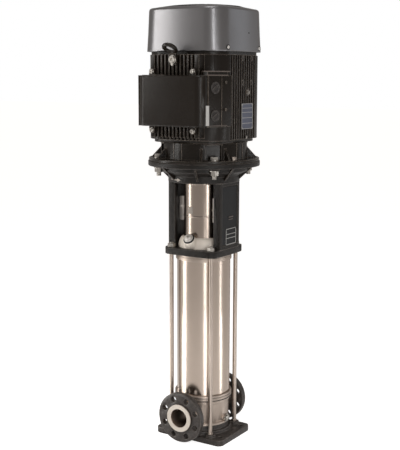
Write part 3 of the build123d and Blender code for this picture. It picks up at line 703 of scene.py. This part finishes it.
def make_piece(name, part, material, body="pump", edge=0.0, segments=2, sharp=32.0, weighted=False):
    """Turns a mesh made in millimetres into a piece in metres that rides on a body."""
    bmesh.ops.remove_doubles(part, verts=part.verts, dist=1e-4)
    bmesh.ops.recalc_face_normals(part, faces=part.faces)
    part.transform(Matrix.Scale(MM, 4))
    mesh = bpy.data.meshes.new(name)
    part.to_mesh(mesh)
    part.free()
    mesh.polygons.foreach_set("use_smooth", [True] * len(mesh.polygons))
    mesh.materials.append(material)
    piece = bpy.data.objects.new(name, mesh)
    scene.collection.objects.link(piece)
    if edge:
        soften = piece.modifiers.new("rounded_edges", "BEVEL")
        soften.width = edge * MM
        soften.segments = segments
        soften.limit_method = "WEIGHT" if weighted else "ANGLE"
        soften.angle_limit = radians(sharp)
        soften.use_clamp_overlap = False
        soften.loop_slide = False
        soften.harden_normals = True
    else:
        mesh.set_sharp_from_angle(angle=radians(sharp))
    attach(piece, body)
    return piece


def softened(node, edge, segments=2):
    """The CAD node again, with its edges rounded as a casting's are, in the node's place."""
    source = frame["nodes"][node]
    part = bmesh.new()
    part.from_mesh(source.data)
    part.transform(Matrix.Scale(1 / MM, 4))
    bmesh.ops.remove_doubles(part, verts=part.verts, dist=1e-3)
    bmesh.ops.dissolve_limit(part, angle_limit=radians(0.6), verts=part.verts, edges=part.edges)
    piece = make_piece(node + "_cast", part, source.data.materials[0], source["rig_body"], edge,
                       segments)
    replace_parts(piece, node)


# Base, ports and sleeve

softened("base_plate", 2.2, 3)
softened("pump_base", 1.2)
softened("inlet_flange", 1.4)
softened("outlet_flange", 1.4)

rim_boss = Matrix.Translation(round_spot(-120, 88.0, base_top - 4.0))
make_piece("base_step_rings", gather([
    lathe([(86, 121), (88.5, 123), (88.5, 128), (91, 130), (91, 136.2), (86, 136.2)], 128),
    lathe([(86, base_seat), (90, base_seat), (90, base_seat + 5), (86, base_seat + 8)], 128),
    lathe([(93.5, 138.0), (95.6, 139.0), (95.6, 142.0), (93.5, 143.0)], 128),
    lathe([(93.5, 147.0), (95.6, 148.0), (95.6, 151.0), (93.5, 152.0)], 128),
    moved(lathe([(0, 0), (8.5, 0), (8.0, 16), (6.5, 18), (0, 18)], 32), rim_boss),
    moved(hex_head(9.0, 6.0), lifted(rim_boss, 18)),
]), cast_stainless, edge=0.5)

# Thin black rings in the groove between the base's raised rims and under the lower one: painted
# shade lines.
make_piece("base_rim_shade_lines", gather([
    lathe([(93.0, z), (94.9, z), (94.9, z + 1.6), (93.0, z + 1.6)], 128) for z in (133.6, 144.2)
]), seal_black_and_painted_shade)

for side, name in ((-1, "inlet_face_rings"), (1, "outlet_face_rings")):
    face = placed((0, side * port_face, port_height), (0, side, 0))
    rings = [moved(disc(r, r + 1.2, 0.25, 64), face) for r in (34.0, 37.5, 41.0, 44.3)]
    make_piece(name, gather(rings + [moved(disc(31.2, 45.6, 0.12, 96), face)]), port_stainless)


def stay_rods():
    """A rod and its collar on the base plate at each corner."""
    rod = [(0, 12), (stay_radius, 12), (stay_radius, deck_top), (0, deck_top)]
    parts = [moved(lathe(rod, 32), foot) for foot in over_corners(stay_offset, 0.0, 0.0)]
    for pad in over_corners(stay_offset, stay_pad_top, 0.0):
        parts.append(moved(disc(stay_radius, 9.2, 6, 32, 1.0), pad))
    return gather(parts)


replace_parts(make_piece("stay_rods", stay_rods(), stay_steel, edge=0.4), "stay_bolts")


def stay_nuts():
    """A washer, a nut and the rod's threaded end at each corner of the deck."""
    parts = []
    for seat in over_corners(stay_offset, deck_top, 0.4):
        parts += on_washer(hex_head(22.0, 9.0), seat, 13.5, 2.0)
        parts.append(moved(threaded(6.8, 4.5), lifted(seat, 10.8)))
    return gather(parts)


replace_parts(make_piece("stay_nuts", stay_nuts(), bright_steel), "stay_bolt_nuts")

# Drain plug, on the pump base's right side
drain = placed((92, 0, 65), (1, 0, 0))
drain_hexagon = gather(on_washer(hex_head(19.0, 5.2), drain, 13.2, 1.6))
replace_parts(make_piece("drain_hexagon", drain_hexagon, bright_steel), "drain_plug")

# Priming plug and its vent screw, on the pump head's tilted boss
tilt = radians(45)
boss_normal = Vector((0, -sin(tilt), cos(tilt)))
boss_rise = 6.0
boss_centre = Vector((0, -head_neck_radius, head_top - 6.0)) + boss_normal * boss_rise
priming = placed(boss_centre, boss_normal)


def head_casting():
    """The stainless cover: a full round shoulder and the tilted boss that carries the plug."""
    start, pull = Vector((66.0, head_top)), Vector((79.5, head_top - 1.5))
    end = Vector((head_neck_radius, stool_bottom + 28.0))
    curve = []
    for step in range(13):
        t = step / 12
        curve.append(tuple(start * (1 - t) ** 2 + pull * 2 * t * (1 - t) + end * t * t))
    outline = [(26.0, head_top), *curve, (head_neck_radius, stool_bottom), (75.0, stool_bottom),
               (75.0, 646.0), (26.0, 646.0)]
    boss = lathe([(0, -19), (23.0, -19), (21.5, -12), (19.6, -4), (18.6, 3.4), (17.2, 5.9),
                  (0, 5.9)], 64)
    foot = placed(boss_centre - boss_normal * boss_rise, boss_normal)
    return gather([lathe(outline, 128), moved(boss, foot)])


def head_ring():
    """The head's turned lower ring, with a groove, down to the sleeve."""
    top, neck, outer, groove = stool_bottom, head_neck_radius - 0.5, 92.5, 91.6
    return lathe([
        (75.0, top + 4.0), (neck, top + 4.0), (neck, top), (outer, top), (outer, top - 4.0),
        (groove, top - 5.0), (groove, top - 7.0), (outer, top - 8.0), (outer, head_bottom),
        (88.7, head_bottom), (88.7, 616.0), (75.0, 616.0),
    ], 128)


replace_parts(make_piece("head_casting", head_casting(), head_stainless_painted_light), "pump_head")
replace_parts(make_piece("head_lower_ring", head_ring(), cast_stainless), "pump_head")
plug_collar = lathe([(4.6, 2.6), (14.4, 2.6), (15.2, 3.4), (15.2, 5.4), (14.0, 6.4), (4.6, 6.4)],
                    64)
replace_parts(make_piece("priming_hexagon", gather([
    moved(plug_collar, priming),
    moved(hex_head(23.0, 6.0), lifted(priming, 6.0)),
]), plug_steel), "priming_plug")
make_piece("priming_seal", gather([
    moved(tube_ring(16.8, 2.2), lifted(priming, 1.6)),
    moved(disc(4.6, 16.0, 2.6, 48), priming),
]), seal_black_and_painted_shade)
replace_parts(make_piece("vent_screw_head", gather([
    moved(lathe([(0, 12.0), (3.9, 12.0), (3.9, 14.4), (3.2, 15.2), (0, 15.2)], 32), priming),
    moved(lathe([(0, 0), (2.6, 0), (2.6, 12.0), (0, 12.0)], 24), priming),
]), bright_steel, "vent"), "vent_screw")

# Motor stool, guards and motor flange

softened("motor_stool", 2.0, 3)


def stool_fins():
    """Short fins under the stool's flange, between its bolts."""
    fins = []
    upright = Matrix.Rotation(radians(90), 4, "X")
    for number in range(8):
        fin = prism([(113, 868), (117.5, 868), (164, 912), (164, 913.4), (113, 913.4)], -3.6, 3.6)
        fins.append(moved(fin, Matrix.Rotation(radians(22.5 + 45 * number), 4, "Z") @ upright))
    return gather(fins)


make_piece("stool_fins", stool_fins(), motor_black, edge=1.2)


def framed_sheet(name, place, width, height, rails, sheet, lines, line, thick=0.8):
    """A bare plate with raised frame lines and level rails, its face on the place's Z."""
    make_piece(name, moved(slab(width, height, 2.0, 0.0, thick), place), sheet)
    low, high = thick * 0.5, thick + 0.7
    parts = []
    for x in (-width / 2 + line, width / 2 - line):
        parts.append(slab(line, height - 2 * line, 0.4, low, high, x))
    for share in rails:
        y = -height / 2 + line + (height - 2 * line) * share
        parts.append(slab(width - 2 * line, line, 0.4, low, high, 0.0, y))
    make_piece(name + "_lines", moved(gather(parts), place), lines)


for side, name in ((-1, "left"), (1, "right")):
    wall = side * (leg_face - leg_recess)
    recess = placed((wall, 0, 753), (side, 0, 0))
    panel = slab(92, 189, 4.0, 0.0, 0.9)
    make_piece(name + "_leg_panel", moved(panel, recess), panel_black, edge=0.4)
    tag = placed((wall + side * 0.9, side * 8.0, 684), (side, 0, 0))
    framed_sheet(name + "_leg_tag", tag, 64, 54, (0.0, 0.40, 0.66, 1.0), panel_black,
                 label_white, 1.7)
    # The ledges take the light lip coat, a painted highlight.
    ledge = placed((wall + side * 0.9, side * 6.0, 744), (side, 0, 0))
    make_piece(name + "_leg_ledge", gather([
        moved(slab(26, 3.0, 1.2, 0.0, 2.4, 0.0, 4.0), ledge),
        moved(slab(26, 2.0, 0.8, 0.0, 1.6, 0.0, -4.0), ledge),
    ]), lip_coat_painted_highlight, edge=0.4)


def turning_arrow():
    """A cast arrow round the barrel, for the motor's turning direction."""
    parts = []
    for start, end, half in ((-121, -104, 2.2), (-104, -96, 6.0)):
        rings = []
        for step in range(9):
            share = step / 8
            reach = half if half < 3 else half * (1 - share) + 0.2
            angle = start + (end - start) * share
            rings.append([round_spot(angle, r, 871.0 + z * reach)
                          for r, z in ((116, -1), (118.4, -1), (118.4, 1), (116, 1))])
        parts.append(loft(rings))
    return gather(parts)


# The cast arrow takes the pale grey label film: a painted glint.
make_piece("barrel_arrow", turning_arrow(), label_grey_and_painted_glint, edge=0.4)


def guard_shell(side):
    """Half a thin guard round the coupling, with a rolled bead and a rolled lip."""
    r = guard_radius
    outside = [(r, head_top)]
    for bead, swell in ((head_top + 68.0, 1.6), (head_top + 176.0, 1.8)):
        outside.append((r, bead - 3))
        for step in range(1, 8):
            angle = pi * step / 8
            outside.append((r + swell * sin(angle), bead - 3 * cos(angle)))
        outside.append((r, bead + 3))
    outside.append((r, head_top + guard_height))
    inside = [(x - guard_wall, z) for x, z in outside[::-1]]
    return lathe(outside + inside, 64, -178.6 if side < 0 else 1.4, 177.2)


def guard_tabs(side):
    """The flat tab at each side of a guard that its screws hold to the stool."""
    parts = []
    for tab in (-1, 1):
        sheet = slab(18.5, 80.0, 6.0, -guard_wall / 2, guard_wall / 2)
        place = placed((tab * 64.0, side * 34.0, head_top + 90.0), (0, side, 0))
        parts.append(moved(sheet, place))
    return gather(parts)


for name, side in (("coupling_guard_front", -1), ("coupling_guard_rear", 1)):
    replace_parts(make_piece(name + "_sheet", guard_shell(side), guard_stainless), name)
    make_piece(name + "_tabs", guard_tabs(side), tab_steel_painted_light)
    make_piece(name + "_screws", gather([
        moved(socket_head(4.4, 3.4, 4.0, 2.4), placed((x, side * 34.75, z), (0, side, 0)))
        for x, z in ((-65.0, 776.0), (61.0, 770.0), (69.0, 745.0))
    ]), plug_steel)
    under, over = guard_radius - 0.2, guard_radius + 0.35
    sticker = lathe([(under, 757), (over, 757), (over, 780), (under, 780)], 12, side * 98 - 9, 18)
    make_piece(name + "_tag", sticker, label_grey_and_painted_glint)


def flange_fasteners():
    """The heads above the motor flange and the nuts under it, a washer with each."""
    heads, nuts = [], []
    for seat in over_corners(flange_bolt_offset, bolt_seat, 0.5):
        heads += on_washer(hex_head(24.0, 10.0), seat, 15.0, 2.8, chamfer=0.5)
    for seat in over_corners(flange_bolt_offset, nut_seat, 0.3, pi):
        nuts += on_washer(hex_head(24.0, 13.0), seat, 15.0, 2.5, chamfer=0.5)
        nuts.append(moved(threaded(7.6, 12.0), lifted(seat, 15.3)))
    return gather(heads), gather(nuts)


bolt_heads, bolt_nuts = flange_fasteners()
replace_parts(make_piece("flange_bolt_heads", bolt_heads, bright_steel), "motor_flange_bolts")
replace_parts(make_piece("flange_bolt_nuts", bolt_nuts, bright_steel), "motor_flange_nuts")

softened("motor_flange_shield", 1.6, 3)


def shield_trim():
    """A lip over each bolt's niche and the thin mould lines down the shield."""
    lip = [(138.5, 985.5), (142.6, 986.2), (142.6, 988.8), (138.5, 989.6)]
    line = [(139, 940), (141.6, 940), (141.6, 989), (139, 989)]
    parts = []
    for bolt in range(4):
        middle = -45 + 90 * bolt
        parts.append(lathe(lip, 16, middle - 12, 24))
        for lean in (-43, 34):
            parts.append(lathe(line, 2, middle + lean, 1.0))
    return gather(parts)


make_piece("shield_trim", shield_trim(), motor_black, edge=0.4)
flange_plug = Matrix.Translation(round_spot(-19, 150.0, bolt_seat))
plug_hexagon = on_washer(hex_head(15.0, 8.0), flange_plug, 9.5, 2.4, 32, 0.5)
make_piece("flange_plug", gather(plug_hexagon), stay_steel)

# Motor housing and terminal box

softened("motor_housing", 1.1)
softened("terminal_box", 1.0)


def box_side(y):
    """Half the box's width at a place along Y: it widens from its front to the housing's sides."""
    return box_front_half + box_flare * (box_front + y) / box_flare_length


def on_box_side(y, z, side=1, out=0.0):
    """A frame on the box's sloping side, its Z looking out and its X running back."""
    outward = Vector((side * box_flare_length, -box_flare, 0)).normalized()
    return placed(Vector((side * box_side(y), y, z)) + outward * out, outward)


def box_cover():
    """The cast cover: a shallow pan with well rounded front edges."""
    side, half = box_side(-box_seam), box_front_half
    outline = rounded([(-side, -box_seam, 0), (-half, -box_front, 26), (half, -box_front, 26),
                       (side, -box_seam, 0)], 12)
    made = prism(outline, box_low, box_high)
    weight = made.edges.layers.float.new("bevel_weight_edge")
    for line in made.edges:
        ends = [end.co for end in line.verts]
        level = abs(ends[0].z - ends[1].z) < 1e-3
        if level and not all(abs(end.y + box_seam) < 1e-3 for end in ends):
            line[weight] = 1.0
    back = [face for face in made.faces if all(abs(v.co.y + box_seam) < 1e-3 for v in face.verts)]
    bmesh.ops.inset_individual(made, faces=back, thickness=9.0, depth=0.0)
    bmesh.ops.inset_individual(made, faces=back, thickness=0.5, depth=-20.0)
    return made


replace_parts(make_piece("box_cover", box_cover(), box_black, edge=6.0, segments=5, weighted=True),
            "terminal_box_cover")


def box_trim():
    """Lugs with their screws, blank plugs, and the small nuts and ribs of the box's sides."""
    lug = rounded([(-11, -14, 3), (11, -14, 3), (9, 9, 8), (-9, 9, 8)])
    plug = [(0, -1), (18.5, -1), (18.5, 2.4), (17.3, 3.4), (14.8, 3.4), (13.6, 1.4), (0, 1.4)]
    lugs, screws, plugs, ribs = [], [], [], []
    for x in (-76, 76):
        for z, turn in ((1214, 0), (1032, 180)):
            spot = placed((x, -pad_face + 1.0, z), (0, -1, 0), turn)
            lugs.append(moved(prism(lug, 0, 15), spot))
            head = spot @ Matrix.Translation((0, -1.0, 15))
            screws += on_washer(socket_head(6.4, 5.0, 5.4, 3.6), head, 7.8, 1.2, 32, 0.3)
    for side in (-1, 1):
        for z in (1080.0, 1165.0):
            spot = on_box_side(-143.0, z, side)
            key = spot @ Matrix.Rotation(0.6, 4, "Z")
            plugs.append(moved(lathe(plug, 48), spot))
            plugs.append(moved(slab(22, 4.0, 1.6, 1.2, 3.0), key))
        for z in (1098.0, 1181.0):
            ribs.append(moved(hex_head(9.0, 3.5), on_box_side(-101.0, z, side)))
        for y, wide, tall, radius, thick in ((-117.0, 1.8, 154.0, 0.6, 1.4),
                                             (-171.4, 4.0, 155.0, 1.0, 1.6)):
            rib = slab(wide, tall, radius, 0, thick)
            ribs.append(moved(rib, on_box_side(y, 1123.5, side)))
    return gather(lugs + ribs), gather(screws), gather(plugs)


def box_shelves():
    """Two cast lips along the top of the box's right side, a thin one along its bottom, and the
    block between the top two; the lips' light coat is a painted highlight.
    """
    block = moved(slab(84.0, 13.0, 2.0, -26.0, 1.0), on_box_side(-134.0, 1207.5))
    lips = []
    for z, long in ((1202.4, 84.0), (1214.0, 92.0)):
        lip = slab(long, 3.4, 1.2, -22.0, 4.0)
        lips.append(moved(lip, on_box_side(-176.0 + long / 2, z)))
    lips.append(moved(slab(84.0, 1.8, 0.8, -4.0, 0.8), on_box_side(-134.0, 1049.5)))
    return block, gather(lips)


box_lugs, box_screws, box_plugs = box_trim()
make_piece("box_lugs", box_lugs, motor_black, edge=0.7)
make_piece("box_screws", box_screws, bright_steel)
make_piece("box_plugs", box_plugs, rim_coat_painted_glint, edge=0.3)
shelf_block, shelf_lips = box_shelves()
make_piece("box_shelf_block", shelf_block, motor_black, edge=0.8)
# A thin strip of the light lip coat along the cover's top edge: a painted highlight.
top_lip = slab(84.0, 5.0, 2.0, 0.0, 1.8)
cover_edge = Matrix.Translation((-66.0, -191.0, box_high - 0.6))
make_piece("box_top_lip", moved(top_lip, cover_edge), lip_coat_painted_highlight, edge=0.4)
make_piece("box_shelf_lips", shelf_lips, lip_coat_painted_highlight, edge=0.5)
strip = slab(15.0, 61.0, 0.8, 0.0, 0.5)
make_piece("box_strip", moved(strip, on_box_side(-176.0, 1080.5, 1, 1.7)), label_white)


def housing_trim():
    """Threaded lugs and an earth screw on each side of the housing, a black disc in each lug's bore
    as painted shade, and the plate's rivets.
    """
    lug = [(4.2, -6), (8.6, -6), (8.6, 1.8), (7.8, 2.6), (5.0, 2.6), (4.2, 1.6)]
    earth_ring = [(7.6, -5), (11.4, -5), (11.4, 1.6), (10.6, 2.4), (7.6, 2.4)]
    lugs, screws, hole_shades = [], [], []
    for side in (-1, 1):
        for y in (-2.0, 53.0):
            for z in (1180.0, 1255.0):
                spot = placed((side * (housing_half - 2.0), side * y, z), (side, 0, 0))
                lugs.append(moved(lathe(lug, 32), spot))
                hole_shades.append(moved(disc(0, 4.3, 0.6, 24), spot))
        earth = placed((side * (housing_half - 1.0), side * 31.0, 1149), (side, 0, 0))
        lugs.append(moved(lathe(earth_ring, 40), earth))
        screws += on_washer(hex_head(8.6, 4.0), earth, 6.6, 1.6, 32, 0.3)
        lower = placed((side * (housing_half - 1.0), side * 21.0, 1007), (side, 0, 0))
        screws.append(moved(hex_head(9.0, 4.0), lower))
    for y in (-5.5, 57.5):
        for z in (1037.0, 1110.0):
            rivet = lathe([(0, 0), (2.4, 0), (2.0, 1.0), (1.0, 1.5), (0, 1.6)], 20)
            screws.append(moved(rivet, placed((housing_half + 0.9, y, z), (1, 0, 0))))
    return gather(lugs), gather(screws), gather(hole_shades)


housing_lugs, housing_screws, housing_hole_shades = housing_trim()
make_piece("housing_lugs", housing_lugs, motor_black)
make_piece("housing_screws", housing_screws, bright_steel)
make_piece("housing_hole_shades", housing_hole_shades, seal_black_and_painted_shade)
framed_sheet("rating_plate", placed((housing_half + 0.1, 26, 1073.5), (1, 0, 0)), 70, 81,
             (0.0, 0.22, 0.44, 0.66, 0.83, 1.0), plate_silver, label_white, 1.3, 0.9)


# Lifting eyes

def lifting_eye(side):
    """A leaning ring over the foot that holds it to the housing's pad."""
    lean = radians(35)
    centre = Vector((0, side * (pad_face + 24.0), 1283.0))
    normal = Vector((0, -side * sin(lean), cos(lean)))
    ring = moved(tube_ring(18.6, 6.9, 56, 18, 0.86), placed(centre, normal))
    foot = prism(rounded([(-15, -16, 6), (15, -16, 6), (11, 20, 5), (-11, 20, 5)]), 0, 10)
    return [ring, moved(foot, placed((0, side * pad_face, eye_height), (0, side, 0)))]


def eye_screw(side):
    place = placed((0, side * (pad_face + 10.0), eye_height), (0, side, 0))
    stem = prism(rounded([(-3.5, -19, 1.5), (3.5, -19, 1.5), (5, -11, 1), (-5, -11, 1)]), 0, 3)
    washer, head = on_washer(socket_head(10.8, 5.4, 9.6, 4.6), place, 13.4, 1.6)
    return [washer, moved(stem, place), head]


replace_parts(make_piece("lifting_rings", gather(lifting_eye(-1) + lifting_eye(1)), motor_black,
                       edge=1.2), "lifting_eyes")
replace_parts(make_piece("lifting_screws", gather(eye_screw(-1) + eye_screw(1)), bright_steel),
            "lifting_eye_bolts")


# Fan cover

def bowed_reach(angle, half, corner):
    """How far a square reaches when its sides bow out and its corners are round."""
    fold = abs((angle + pi / 4) % (pi / 2) - pi / 4)
    shift = half - hood_bow
    centre = (shift + sqrt(2 * (hood_bow - corner) ** 2 - shift * shift)) / 2
    c, s = cos(fold), sin(fold)
    reach = shift * c + sqrt(hood_bow ** 2 - (shift * s) ** 2)
    side_end = atan2(centre, centre - shift)
    if atan2(reach * s, reach * c - shift) <= side_end:
        return reach
    along = centre * (c + s)
    return along + sqrt(along * along - 2 * centre * centre + corner * corner)


def roof_height(radius):
    """The dished roof rises a little towards its middle."""
    return hood_roof - 6.5 * (radius / roof_radii[0]) ** 2


def slot_columns(radius):
    """The angles of one turn, nine to each slot: three over the gap and six over the spoke."""
    angles = []
    for slot in range(slot_count):
        middle = 2 * pi * slot / slot_count
        level = min(max(radius, slot_inner), slot_outer)
        half_gap = 2.0 + 5.0 * (level - slot_inner) / (slot_outer - slot_inner)
        edge = asin(half_gap / level)
        spoke = 2 * pi / slot_count - 2 * edge
        angles += [middle - edge, middle - edge / 3, middle + edge / 3]
        angles += [middle + edge + spoke * step / 6 for step in range(6)]
    return angles


def hood_walls():
    """The pressed wall's half width, corner and height, from its lower hem to its shoulder."""
    levels = [(153.5, hood_corner, 1275.5), (153.5, hood_corner, 1279.0),
              (151.0, hood_corner, 1330.0), (hood_half, hood_corner, hood_shoulder)]
    for step in range(1, 8):
        angle = radians(90 * step / 7)
        inward = 1 - cos(angle)
        levels.append((hood_half - 9.0 * inward, hood_corner - 5 * inward,
                       hood_shoulder + 9.5 * sin(angle)))
    levels += [(134.0, 57.0, 1411.5), (126.0, 57.0, 1413.5)]
    return levels


def hood_rows():
    """Rings of points up the walls and in over the roof, nine points to each air slot."""
    rows = []
    for half, corner, z in hood_walls():
        rows.append([polar(bowed_reach(angle, half, corner), angle, z)
                     for angle in slot_columns(slot_outer)])
    for radius in roof_radii:
        rows.append([polar(radius, angle, roof_height(radius)) for angle in slot_columns(radius)])
    return rows


def sheet_from(rows, open_rows, capped):
    """One skin through rings of points, left open at the air slots."""
    made = bmesh.new()
    rings = [[made.verts.new(point) for point in row] for row in rows]
    count = len(rings[0])
    for number, (low, high) in enumerate(zip(rings, rings[1:])):
        for step in range(count):
            if number in open_rows and step % 9 in (0, 1, 2):
                continue
            after = (step + 1) % count
            made.faces.new((low[step], low[after], high[after], high[step]))
    if capped:
        made.faces.new(rings[-1])
    return made


# The hood's grey wall up to its shoulder, and its slotted roof in a darker copy of the grey paint:
# painted shade
rows = hood_rows()
shoulder = len(hood_walls()) - 1
slots = range(1 + roof_radii.index(slot_outer), 2 + roof_radii.index(48.0))
for name, made, material in (
    ("fan_hood", sheet_from(rows[:shoulder + 1], (), False), cover_grey),
    ("fan_hood_roof", sheet_from(rows[shoulder:], slots, True), roof_grey_painted_shade),
):
    piece = make_piece(name, made, material, sharp=40)
    thick = piece.modifiers.new("sheet_thickness", "SOLIDIFY")
    thick.thickness = 2.5 * MM
    thick.offset = -1.0
    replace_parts(piece, "fan_cover")


def hood_screws():
    """Four cover screws on the hood's two plain sides, each off the centre of a dark ring that
    shows as a crescent, a painted shadow; and two small dark discs on each side, painted shade for
    small recesses.
    """
    heads, shade_marks = [], []
    for side in (-1, 1):
        for y in (-96.0, 96.0):
            spot = placed((side * hood_half, y, 1287.0), (side, 0, 0))
            # Each head sits off the centre of its dark ring and disc, so the ring shows as a
            # crescent: a painted shadow.
            head = placed((side * hood_half, y - side * 2.6, 1287.0), (side, 0, 0))
            shade_marks.append(moved(tube_ring(6.6, 1.5, 32, 10, 0.8), spot))
            shade_marks.append(moved(disc(0, 6.6, 0.5, 32), spot))
            heads.append(moved(socket_head(5.4, 3.2, 3.6, 1.8), head))
        # Two small dark discs on each side: painted shade for two small recesses.
        for y, z in ((24.0, 1334.0), (15.0, 1320.0)):
            spot = placed((side * 150.4, side * y, z), (side, 0, 0))
            shade_marks.append(moved(disc(0, 3.0, 0.5, 20, 0.2), spot))
    return gather(heads), gather(shade_marks)


screw_heads, screw_shade_marks = hood_screws()
make_piece("hood_screws", screw_heads, plug_steel)
make_piece("hood_shade_marks", screw_shade_marks, seal_black_and_painted_shade)
